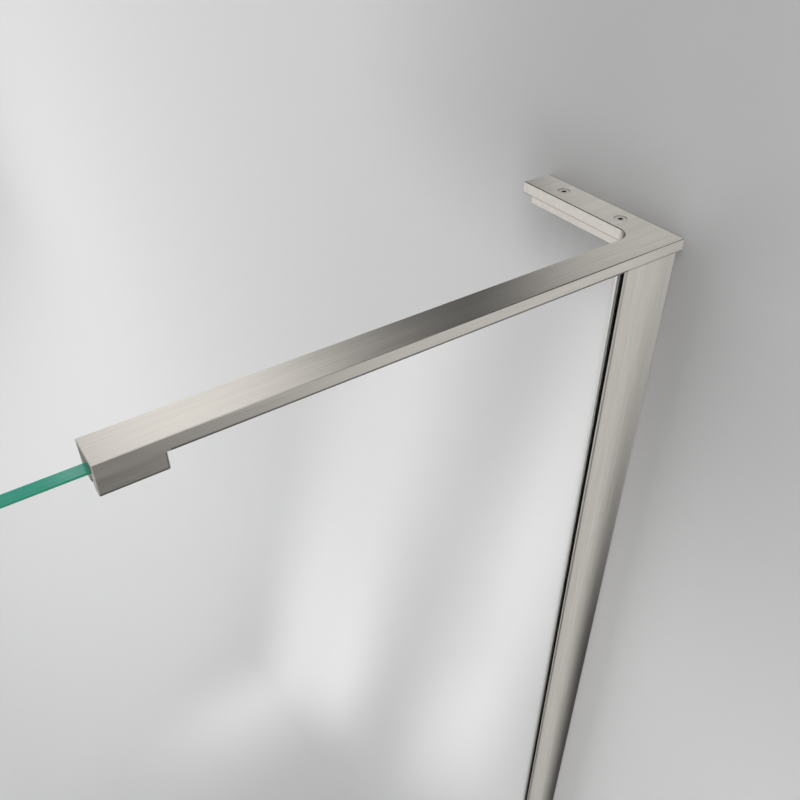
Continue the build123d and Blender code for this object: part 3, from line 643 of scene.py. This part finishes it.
class SHOWER_DOOR_OT_glass_panes(bpy.types.Operator):
    """Make the stationary pane and the swinging pane, with their notches and holes"""

    bl_idname = "shower_door.glass_panes"
    bl_label = "Glass panes"

    def execute(self, context):
        look = settings("shower_glass")
        materials = [bpy.data.materials[n] for n in ("Clear Glass", "Glass Edge", "Glass Arris")]
        hinge_heights = [
            (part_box(f"{level}_hinge_pin")[0][2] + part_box(f"{level}_hinge_pin")[1][2]) / 2
            for level in ("lower", "upper")
        ]
        # The panes lie a hair inside the CAD's faces, so that neither shows through the other
        skin = 0.00002
        half = GLASS_THICKNESS / 2 - skin

        low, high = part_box("fixed_panel_glass")
        left, right, bottom, top = low[0] + skin, high[0] - skin, low[2] + skin, high[2] - skin
        corners, radii = [(left, bottom), (right, bottom), (right, top), (left, top)], [0.0] * 4
        for z in hinge_heights[::-1]:
            more, rounds = notch(left, z, 1, [look.panel_notch_depth], [look.notch_half_height],
                                 [look.notch_radius])
            corners += more[::-1]
            radii += rounds[::-1]
        outline = rounded(corners, radii)
        pane = make_pane("stationary_pane", outline, [inset(outline, look.arris)], [],
                         half, look.arris, materials)
        belongs(pane, "fixed_panel", "clear_glass", "fixed_panel_glass")

        low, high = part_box("door_glass")
        left, right, bottom, top = low[0] + skin, high[0] - skin, low[2] + skin, high[2] - skin
        studs_low, studs_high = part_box("pull_studs")
        cut = (studs_low[0] + studs_high[0]) / 2
        stud = (studs_high[0] - studs_low[0]) / 2
        hole_heights = [studs_low[2] + stud, studs_high[2] - stud]
        corners, radii = [(cut, bottom), (right, bottom)], [0.0, 0.0]
        for z in hinge_heights:
            more, rounds = notch(
                right, z, -1, [look.knuckle_notch_depth, look.door_notch_depth],
                [look.knuckle_notch_half_height, look.notch_half_height],
                [look.knuckle_notch_radius, look.notch_radius])
            corners += more
            radii += rounds
        corners += [(right, top), (cut, top), (left, top), (left, bottom)]
        radii += [0.0] * 4
        outline = rounded(corners, radii)
        inner = inset(outline, look.arris)
        split = int(np.argmin(np.hypot(*(outline - (cut, top)).T)))
        radius = look.pull_hole_radius
        wide = radius + look.arris
        down = [circle_points(cut, z, wide, pi / 2, -pi) for z in hole_heights[::-1]]
        up = [circle_points(cut, z, wide, -pi / 2, -pi) for z in hole_heights]
        face_right = np.concatenate([inner[:split + 1], *down])
        face_left = np.concatenate([inner[split:], inner[:1], *up])
        holes = [circle_points(cut, z, radius, 0.0, -2 * pi, 49)[:-1] for z in hole_heights]
        pane = make_pane("swinging_pane", outline, [face_right, face_left], holes,
                         half, look.arris, materials)
        belongs(pane, "door", "clear_glass", "door_glass")
        return {"FINISHED"}


# The wall profile

class SHOWER_DOOR_OT_wall_profile(bpy.types.Operator):
    """Make the bulging wall profile, as one section carried up the wall"""

    bl_idname = "shower_door.wall_profile"
    bl_label = "Wall profile"

    def execute(self, context):
        look = settings("shower_profile")
        low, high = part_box("wall_profile")
        mouth, wall, bulge = low[0], high[0], high[1]
        middle = mouth / 2
        slack = 0.0001
        web = 0.0018
        web_mouth_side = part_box("fixed_panel_glass")[1][0] + slack
        web_wall_side = web_mouth_side + web
        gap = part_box("wall_channel")[1][1] + slack
        boss_middle = -0.0152
        boss_half = 0.0065

        def side(sign, inward):
            """Half of the lens-shaped section, from the wall to the mouth."""
            return arc((wall, sign * (look.wall_half_width - inward)),
                       (middle, sign * (bulge - inward)),
                       (mouth, sign * (look.mouth_half_width - inward)), 49)

        def stretch(path, start, end):
            """The part of a path between two depths, with its ends on them."""
            x = np.linspace(start, end, 17)
            order = np.argsort(path[:, 0])
            return np.column_stack([x, np.interp(x, path[order, 0], path[order, 1])])

        def lip(path, sign):
            """The rounded outer corner of a lip, from the side's end to the mouth's face."""
            corner = path[-1]
            before = path[path[:, 0] < mouth + 2.2 * look.lip_radius][0]
            along = (before - corner) / np.linalg.norm(before - corner)
            across = np.array([0.0, -sign])
            half = np.arccos(along @ across) / 2
            first = corner + along * look.lip_radius / np.tan(half)
            last = corner + across * look.lip_radius / np.tan(half)
            bisector = (along + across) / np.linalg.norm(along + across)
            centre_way = look.lip_radius / np.sin(half) - look.lip_radius
            return first, arc(first, corner + bisector * centre_way, last, 9)

        front, back = side(-1, 0.0), side(1, 0.0)
        inner_front, inner_back = side(-1, look.skin), side(1, look.skin)
        first_front, lip_front = lip(front, -1)
        first_back, lip_back = lip(back, 1)
        inner_lip = look.mouth_half_width - look.back_lip
        pocket_front = stretch(inner_front, mouth, web_mouth_side)
        pocket_back = stretch(inner_back, web_mouth_side, mouth + look.back_lip_depth)
        boss_near, boss_far = boss_middle - boss_half, boss_middle + boss_half
        section = np.concatenate([
            front[front[:, 0] > first_front[0] + 1e-6], lip_front,
            pocket_front, pocket_back,
            [(mouth + look.back_lip_depth, inner_lip), (mouth, inner_lip)],
            lip_back[::-1], back[back[:, 0] > first_back[0] + 1e-6][::-1],
            stretch(inner_back, wall, boss_far),
            [(boss_far, gap), (boss_near, gap)],
            stretch(inner_back, boss_near, web_wall_side),
            stretch(inner_front, web_wall_side, boss_near),
            [(boss_near, -gap), (boss_far, -gap)],
            stretch(inner_front, boss_far, wall),
        ])
        points, faces = upright(section[::-1], low[2], high[2])
        piece = new_piece("wall_profile_skin", points, faces,
                          [bpy.data.materials["Nickel Along Z"]], smooth=radians(30))
        belongs(piece, "fixed_panel", "brushed_nickel", "wall_profile")
        return {"FINISHED"}


# The screws

def socket_screw(head_radius, shank_radius, length, hexagon, socket_depth, around=72):
    """A countersunk screw about the origin with its head up, as rings of points.

    Ring n has a height and a radius. The radius is round, or for the socket's
    rings that of a hexagon: the apothem over the cosine of the angle from the
    nearest flat's middle.
    """
    angle = np.arange(around) * 2 * pi / around
    from_flat = (angle + pi / 6) % (pi / 3) - pi / 6
    hexagonal = hexagon / 2 / np.cos(from_flat)
    circle = np.ones(around)
    soft = head_radius * 0.05
    cone = head_radius - shank_radius
    rim = shank_radius * 0.1
    rings = [
        (-length, shank_radius * 0.001, 0), (-length, shank_radius * 0.8, 0),
        (-length + shank_radius * 0.2, shank_radius, 0), (-rim - cone, shank_radius, 0),
        (-rim, head_radius, 0), (-soft, head_radius, 0), (-soft * 0.3, head_radius - soft * 0.3, 0),
        (0.0, head_radius - soft, 0), (0.0, 1.09, 1), (-soft, 1.0, 1), (-socket_depth, 1.0, 1),
        (-socket_depth, 0.9, 1), (-socket_depth * 1.15, 0.001, 1),
    ]
    points = [np.column_stack([np.cos(angle), np.sin(angle), circle])
              * np.column_stack([(hexagonal if flat else circle) * radius] * 2 + [circle * height])
              for height, radius, flat in rings]
    faces = ring_faces(len(rings), around)
    band = np.arange(len(faces)) // around
    # The socket's inside and the head's rim take the painted shade
    dark = (band >= FIRST_SOCKET_BAND) | np.isin(band, PAINTED_SHADE_RIM)
    return np.concatenate(points), faces, dark.astype(int)


def placed(points, faces, kinds, places, turn):
    """Copies of one shape at several places, turned by a matrix first."""
    turned = points @ np.asarray(turn).T
    many = np.concatenate([turned + place for place in places])
    lists = np.concatenate([faces + n * len(points) for n in range(len(places))])
    return many, lists.tolist(), np.tile(kinds, len(places))


HEAD_UP = np.eye(3)
HEAD_BACK = np.array([(1, 0, 0), (0, 0, 1), (0, -1, 0)], float)
BAR_SOCKET = {"shank_radius": 0.003, "hexagon": 0.0036, "socket_depth": 0.0019}
HINGE_SOCKET = {"shank_radius": 0.003, "hexagon": 0.004, "socket_depth": 0.0025}
HINGE_SCREW_PITCH = 0.028
# Bands of the screw's surface painted dark as shade: the head's soft rim, and the socket's inside
PAINTED_SHADE_RIM = (5, 6)
FIRST_SOCKET_BAND = 9


class SHOWER_DOOR_OT_screws(bpy.types.Operator):
    """Make the socket screws of the bar and the hinges"""

    bl_idname = "shower_door.screws"
    bl_label = "Screws"

    def execute(self, context):
        materials = [bpy.data.materials[n] for n in ("Screw Steel", "Screw Socket")]

        def measured(name):
            """The low and high corners of a node's box, its heads' radius and their middle in x."""
            low, high = (np.array(c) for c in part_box(name))
            return low, high, (high[0] - low[0]) / 2, (low[0] + high[0]) / 2

        low, high, head, middle = measured("bar_screws")
        shape = socket_screw(head, length=high[2] - low[2], **BAR_SOCKET)
        places = [(middle, low[1] + head, high[2]), (middle, high[1] - head, high[2])]
        points, faces, kinds = placed(*shape, np.array(places), HEAD_UP)
        piece = new_piece("bar_socket_screws", points, faces, materials, kinds, radians(30))
        belongs(piece, "fixed_panel", "screw_steel", "bar_screws")
        for body, name in (("fixed_panel", "panel_hinge_screws"), ("door", "door_hinge_screws")):
            low, high, head, middle = measured(name)
            first, last = low[2] + head, high[2] - head
            heights = [first, first + HINGE_SCREW_PITCH, last - HINGE_SCREW_PITCH, last]
            shape = socket_screw(head, length=high[1] - low[1], **HINGE_SOCKET)
            places = np.array([(middle, high[1], z) for z in heights])
            points, faces, kinds = placed(*shape, places, HEAD_BACK)
            piece = new_piece(name + "_fine", points, faces, materials, kinds, radians(30))
            belongs(piece, body, "screw_steel", name)
        return {"FINISHED"}


# Stage, lamps and camera

def side_of_line(tree, place, normal, offset, soft):
    """One on the inner side of a line on the wall and zero outside, eased over a width."""
    dot = node(tree, "ShaderNodeVectorMath", {0: place}, operation="DOT_PRODUCT")
    dot.inputs[1].default_value = normal
    return ease(tree, dot.outputs["Value"], -offset - soft, -offset + soft)


# Ramps of the backdrop's painted light and shade: start and end, then low and high where they aren't
# 0 and 1
WALL_SHADE_RAMPS = {
    "corner_y": (0.50, 0.05),
    "corner_foot_by_y": (-0.03, 0.03, 1.15, 1.70),
    "corner_head_by_y": (-0.03, 0.03, 1.95, 1.87),
    "corner_outer_y": (-0.22, 0.0, 0.45, 1.0),
    "low_wall_z": (1.78, 1.30),
    "low_wall_y": (0.45, 0.15),
    "top_z": (2.00, 2.30),
    "arm_beside": (0.11, 0.05),
    "arm_above": (0.09, 0.015, 0.0, 0.45),
}
# Painted light that lifts the low wall, and the shares of the painted shade at the top and of the
# painted shadow round the arm
LOW_WALL_PAINTED_LIGHT, TOP_SHADE_SHARE, ARM_SHADOW_SHARE = 1.16, 0.45, 0.72
ARM_Y, ARM_Z = 0.075, 1.815

# The same for the painted reflection that metal and glass see of it, and how much the dark ones take
# away
MIRROR_RAMPS = {
    "band": (1.86, 2.36, 0.70, 0.05),
    "lift_y": (0.20, 1.0, 0.0, 0.86),
    "front_y": (-0.25, -1.3, 0.94, 0.48),
    "root_outer_y": (-0.06, -0.012),
    "root_inner_y": (0.12, 0.01),
    "root_z": (1.87, 1.30, 0.2, 1.0),
    "root_x": (-0.4, -0.1),
    "over_y": (0.0, -0.02),
    "over_z": (1.84, 1.90),
    "floor_z": (0.9, 0.2),
    "floor_x": (-2.4, -1.4),
    "streak_x": (-0.5, -0.05),
}
ROOT_DARK, OVER_DARK, FLOOR_DARK = 0.90, 0.85, 0.72
BAND_SLOPE = 1.6

# Each soft streak of painted reflection that the clear glass mirrors: its share, and the normal,
# offset and softness of the lines round it
PAINTED_STREAK_STRENGTH = 2.5
PAINTED_STREAKS = [
    (1.0, [((0.0, 0.9355, -0.3532), 0.9944, 0.11), ((0.0, -0.9687, 0.2481), -0.6404, 0.085),
           ((0.0, -0.7790, 0.6271), -0.7055, 0.13)]),
    (0.50, [((0.0, 0.9712, -0.2383), 0.4748, 0.075), ((0.0, -0.9952, 0.0981), -0.2026, 0.06),
            ((0.0, -0.8366, 0.5477), -0.5995, 0.13)]),
    (0.60, [((0.0, 0.9712, -0.2383), 0.4848, 0.05), ((0.0, -0.9952, 0.0981), -0.1650, 0.05),
            ((0.0, 0.0, 1.0), -1.40, 0.30)]),
]


def backdrop_material(name, colour, shade):
    """Matt wall and floor, unseen from behind.

    The wall has painted light and shade by place: by products of eased ramps
    it is darkest high up in the corner, a little lighter low down and has a
    soft painted shadow round the bar's short arm. What metal and glass mirror
    of it is a painted reflection, a glow from a second set of ramps: dark above
    the bar, in the root of the profile and on the floor below, with three soft
    streaks that only a sharp mirror shows.
    """
    material, tree, shader = principled(name, colour, Roughness=0.9, Specular_IOR_Level=0.1)
    place = node(tree, "ShaderNodeTexCoord").outputs["Object"]
    x, y, z = node(tree, "ShaderNodeSeparateXYZ", {0: place}).outputs

    def wall(ramp, source):
        return ease(tree, source, *WALL_SHADE_RAMPS[ramp])

    def mirror(ramp, source):
        return ease(tree, source, *MIRROR_RAMPS[ramp])

    def times(*factors):
        return chain(tree, "MULTIPLY", factors)

    def less(amount, *factors):
        return add_math(tree, "MULTIPLY_ADD", times(*factors), -amount, 1.0)

    def away(source, middle):
        return add_math(tree, "ABSOLUTE", add_math(tree, "SUBTRACT", source, middle))

    # Painted shade in the corner, painted light low down, painted shade at the top and a painted
    # shadow round the arm
    foot, head = wall("corner_foot_by_y", y), wall("corner_head_by_y", y)
    height = add_math(tree, "DIVIDE", add_math(tree, "SUBTRACT", z, foot),
                      add_math(tree, "SUBTRACT", head, foot))
    corner_shade = times(wall("corner_y", y), ease(tree, height, 0.0, 1.0), wall("corner_outer_y", y))
    low = times(wall("low_wall_z", z), wall("low_wall_y", y))
    arm_shadow = times(wall("arm_beside", away(y, ARM_Y)), wall("arm_above", away(z, ARM_Z)))
    tone = colour
    for share, then in (
            (corner_shade, shade), (low, [c * LOW_WALL_PAINTED_LIGHT for c in colour]),
            (wall("top_z", z), [c * TOP_SHADE_SHARE for c in shade]),
            (arm_shadow, [c * ARM_SHADOW_SHARE for c in shade])):
        tone = blend_colour(tree, share, tone, then)
    tree.links.new(tone, shader.inputs["Base Color"])

    # Painted reflection: glossy rays, except through the glass, see a glow made from these ramps and
    # streaks instead of the lit wall
    rays = node(tree, "ShaderNodeLightPath").outputs
    sharp = rays["Is Singular Ray"]
    along = add_math(tree, "MULTIPLY_ADD", add_math(tree, "MAXIMUM", y, 0.0), BAND_SLOPE, z)
    plain = add_math(tree, "ADD", mirror("band", along), mirror("lift_y", y))
    root = less(ROOT_DARK, mirror("root_outer_y", y), mirror("root_inner_y", y),
                mirror("root_z", z), mirror("root_x", x))
    over = less(OVER_DARK, mirror("over_y", y), mirror("over_z", z))
    floor = less(FLOOR_DARK, mirror("floor_z", z), mirror("floor_x", x))
    painted_streaks = chain(tree, "ADD", [
        times(*[side_of_line(tree, place, *line) for line in lines], share)
        for share, lines in PAINTED_STREAKS])
    level = add_math(
        tree, "ADD",
        times(plain, mirror("front_y", y), add_math(tree, "MAXIMUM", root, sharp), over, floor),
        times(painted_streaks, sharp, mirror("streak_x", x), PAINTED_STREAK_STRENGTH))
    shine = node(tree, "ShaderNodeEmission", {"Strength": level})
    mirrored = add_math(tree, "GREATER_THAN", rays["Is Glossy Ray"], rays["Is Transmission Ray"])
    seen = node(tree, "ShaderNodeMixShader",
                {0: mirrored, 1: shader.outputs[0], 2: shine.outputs[0]})
    sides = node(tree, "ShaderNodeNewGeometry")
    clear = node(tree, "ShaderNodeBsdfTransparent")
    mix = node(tree, "ShaderNodeMixShader", {0: sides.outputs["Backfacing"],
               1: seen.outputs[0], 2: clear.outputs[0]})
    tree.links.new(mix.outputs[0], tree.nodes["Material Output"].inputs["Surface"])
    return material


def point_at(made, place, aim):
    """Put an object at a place with its face towards another place."""
    made.location = place
    made.rotation_euler = (Vector(aim) - Vector(place)).to_track_quat("-Z", "Y").to_euler()


def lamp(name, place, aim, size, power):
    """A soft area lamp that points at a place and is seen by nothing."""
    light = bpy.data.lights.new(name, "AREA")
    light.shape = "RECTANGLE"
    light.size, light.size_y = size
    light.energy = power
    made = bpy.data.objects.new(name, light)
    point_at(made, place, aim)
    made.visible_camera = made.visible_glossy = made.visible_transmission = False
    bpy.context.scene.collection.objects.link(made)


def mirrored_card(name, place, aim, size, material):
    """A card that only mirrors and gloss see."""
    wide, high = size[0] / 2, size[1] / 2
    corners = [(-wide, -high, 0), (wide, -high, 0), (wide, high, 0), (-wide, high, 0)]
    card = new_piece(name, corners, [[0, 1, 2, 3]], [material])
    point_at(card, place, aim)
    card.visible_camera = card.visible_diffuse = card.visible_shadow = False
    card.visible_transmission = card.visible_volume_scatter = False


def glow_material(name, size, strength):
    """A shine that fades to nothing at the card's edges.

    It is the strength times two eased ramps, from the edges inwards.
    """
    material = bpy.data.materials.new(name)
    material.use_nodes = True
    tree = material.node_tree
    tree.nodes.clear()
    place = node(tree, "ShaderNodeTexCoord")
    axes = node(tree, "ShaderNodeSeparateXYZ", {0: place.outputs["Object"]}).outputs
    falls = [ease(tree, add_math(tree, "ABSOLUTE", axes[axis]), whole / 2, whole / 2 * 0.3)
             for axis, whole in zip("XY", size)]
    shine = node(tree, "ShaderNodeEmission",
                 {"Strength": chain(tree, "MULTIPLY", (*falls, strength))})
    clear = node(tree, "ShaderNodeBsdfTransparent")
    add = node(tree, "ShaderNodeAddShader", {0: shine.outputs[0], 1: clear.outputs[0]})
    end = tree.nodes.new("ShaderNodeOutputMaterial")
    tree.links.new(add.outputs[0], end.inputs["Surface"])
    return material


# The sheet of wall and floor, in metres: how far out, how high, and the cove's rounding
FLOOR_REACH, WALL_HEIGHT = 6.0, 2.4
COVE_START, COVE_LENGTH = 0.1, 1.0
SHARP_RADIUS, COVE_RADIUS = 0.0005, 0.7


def backdrop_sheet():
    """Points and quads of wall and floor in one sheet.

    The corner between them is a quarter circle. Its radius is next to nothing
    up to the door's side, and from there it eases out into a wide cove.
    """
    y = np.concatenate([np.linspace(-3.0, 0.0, 7),
                        np.linspace(COVE_START, COVE_START + COVE_LENGTH, 41),
                        np.linspace(1.5, 6.0, 12)])
    bend = np.linspace(0.0, pi / 2, 25)
    open_by = np.clip((y - COVE_START) / COVE_LENGTH, 0.0, 1.0)
    radius = SHARP_RADIUS + COVE_RADIUS * open_by * open_by * (3 - 2 * open_by)
    turn_x = -radius[:, None] * (1 - np.sin(bend))
    turn_z = radius[:, None] * (1 - np.cos(bend))
    ones = np.ones((len(y), 1))
    x = np.concatenate([-FLOOR_REACH * ones, turn_x, 0.0 * ones], axis=1)
    z = np.concatenate([0.0 * ones, turn_z, WALL_HEIGHT * ones], axis=1)
    points = np.stack([x, np.broadcast_to(y[:, None], x.shape), z], axis=-1).reshape(-1, 3)
    rows, columns = x.shape
    row, column = np.meshgrid(np.arange(rows - 1), np.arange(columns - 1), indexing="ij")
    start = row * columns + column
    quads = np.stack([start, start + 1, start + columns + 1, start + columns], axis=-1)
    return points, quads.reshape(-1, 4).tolist()


# The camera: its place, and its right, down and forward ways as solved from the photograph
CAMERA_PLACE = (-0.4735, -0.3446, 2.0989)
CAMERA_RIGHT = Vector((0.8269, -0.5624, -0.0026))
CAMERA_DOWN = Vector((-0.3449, -0.5035, -0.7922))
CAMERA_FORWARD = Vector((0.4442, 0.6559, -0.6103))


class SHOWER_DOOR_OT_stage(bpy.types.Operator):
    """Make the wall, floor, lamps and camera"""

    bl_idname = "shower_door.stage"
    bl_label = "Stage"

    def execute(self, context):
        look = settings("shower_stage")
        scene = context.scene
        finish = backdrop_material("Backdrop", tuple(look.wall_colour), tuple(look.corner_shade_colour))
        wall = new_piece("backdrop", *backdrop_sheet(), [finish], smooth=radians(60))

        lamp("Soft Lamp Low", (-2.2, 2.2, 0.98), (0.0, 1.5, 1.2), (2.0, 1.7), look.lamp_power)
        size = (3.6, 2.4)
        mirrored_card("Sky Card", (-0.3, 3.3, 4.6), (-0.4, 0.0, 1.8), size,
                      glow_material("Sky Card", size, 0.62))
        mirrored_card("Dark Flag", (-1.15, 1.65, 3.5), (-0.1, 0.05, 1.83), (2.0, 2.0),
                      principled("Dark Flag", (0.02, 0.02, 0.02), Roughness=1.0)[0])

        world = bpy.data.worlds.new("Studio")
        scene.world = world
        world.use_nodes = True
        sky = world.node_tree.nodes["Background"]
        sky.inputs["Color"].default_value = (0.86, 0.86, 0.86, 1)
        sky.inputs["Strength"].default_value = 0.84

        camera = bpy.data.cameras.new("Camera")
        camera.lens = look.lens
        camera.sensor_width = 36.0
        camera.clip_start = 0.01
        eye = bpy.data.objects.new("Camera", camera)
        turn = Matrix((CAMERA_RIGHT, -CAMERA_DOWN, -CAMERA_FORWARD)).transposed()
        eye.matrix_world = Matrix.Translation(CAMERA_PLACE) @ turn.to_4x4()
        scene.collection.objects.link(eye)
        scene.camera = eye
        scene.view_settings.view_transform = "Standard"
        return {"FINISHED"}


OPERATORS = [
    SHOWER_DOOR_OT_finishes,
    SHOWER_DOOR_OT_glass_panes,
    SHOWER_DOOR_OT_wall_profile,
    SHOWER_DOOR_OT_screws,
    SHOWER_DOOR_OT_stage,
]


class SHOWER_DOOR_PT_panel(bpy.types.Panel):
    """Lists the operators and the settings."""

    bl_label = "Shower Door"
    bl_idname = "SHOWER_DOOR_PT_panel"
    bl_space_type = "VIEW_3D"
    bl_region_type = "UI"
    bl_category = "Shower Door"

    def draw(self, context):
        for operator in OPERATORS:
            self.layout.operator(operator.bl_idname)
        for name, kind in SETTINGS.items():
            for key in kind.__annotations__:
                self.layout.prop(getattr(context.scene, name), key)


def register():
    for kind in [*SETTINGS.values(), *OPERATORS, SHOWER_DOOR_PT_panel]:
        bpy.utils.register_class(kind)
    for name, kind in SETTINGS.items():
        setattr(bpy.types.Scene, name, PointerProperty(type=kind))


def unregister():
    for name in SETTINGS:
        delattr(bpy.types.Scene, name)
    for kind in [SHOWER_DOOR_PT_panel, *OPERATORS[::-1], *SETTINGS.values()]:
        bpy.utils.unregister_class(kind)


def main():
    register()
    for operator in OPERATORS:
        family, name = operator.bl_idname.split(".")
        getattr(getattr(bpy.ops, family), name)()


if __name__ == "__main__":
    main()
